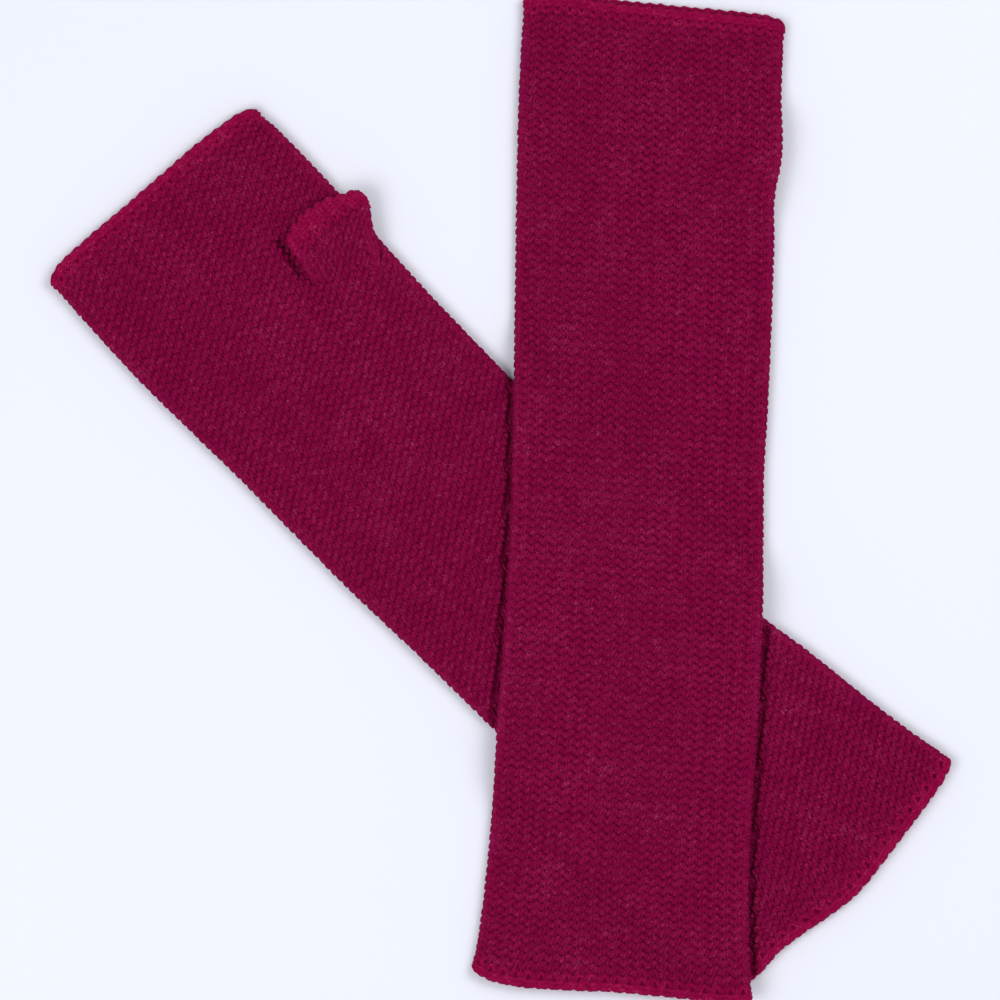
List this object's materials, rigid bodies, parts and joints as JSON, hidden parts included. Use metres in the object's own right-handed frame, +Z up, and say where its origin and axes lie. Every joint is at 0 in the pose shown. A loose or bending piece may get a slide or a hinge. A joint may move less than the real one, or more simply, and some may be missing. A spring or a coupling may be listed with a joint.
{
  "type": "pair of arm warmers",
  "caption": "Long knitted tubes with thumb stalls, for wearing from knuckles to forearm, laid flat with one lying across the other.",
  "frame": {"origin": "middle of the pair's box, on the surface it lies on", "axes": "+Z up from the surface, +Y towards the hand edge of the left warmer, +X towards the arm edge of the right warmer"},
  "size_m": [0.3235, 0.363, 0.0103],
  "materials": {
    "knitted_wool": "matt crimson double knitting wool, knitted in the round with the purl side out",
    "edge_wool": "the same wool in a cast-on or bound-off edge of upright loops"
  },
  "bodies": {
    "root": {"left_tube": "knitted_wool", "left_hand_edge": "edge_wool", "left_arm_edge": "edge_wool", "left_thumb": "knitted_wool", "left_thumb_edge": "edge_wool", "right_tube": "knitted_wool", "right_hand_edge": "edge_wool", "right_arm_edge": "edge_wool", "right_thumb": "knitted_wool", "right_thumb_edge": "edge_wool"}
  },
  "joints": []
}
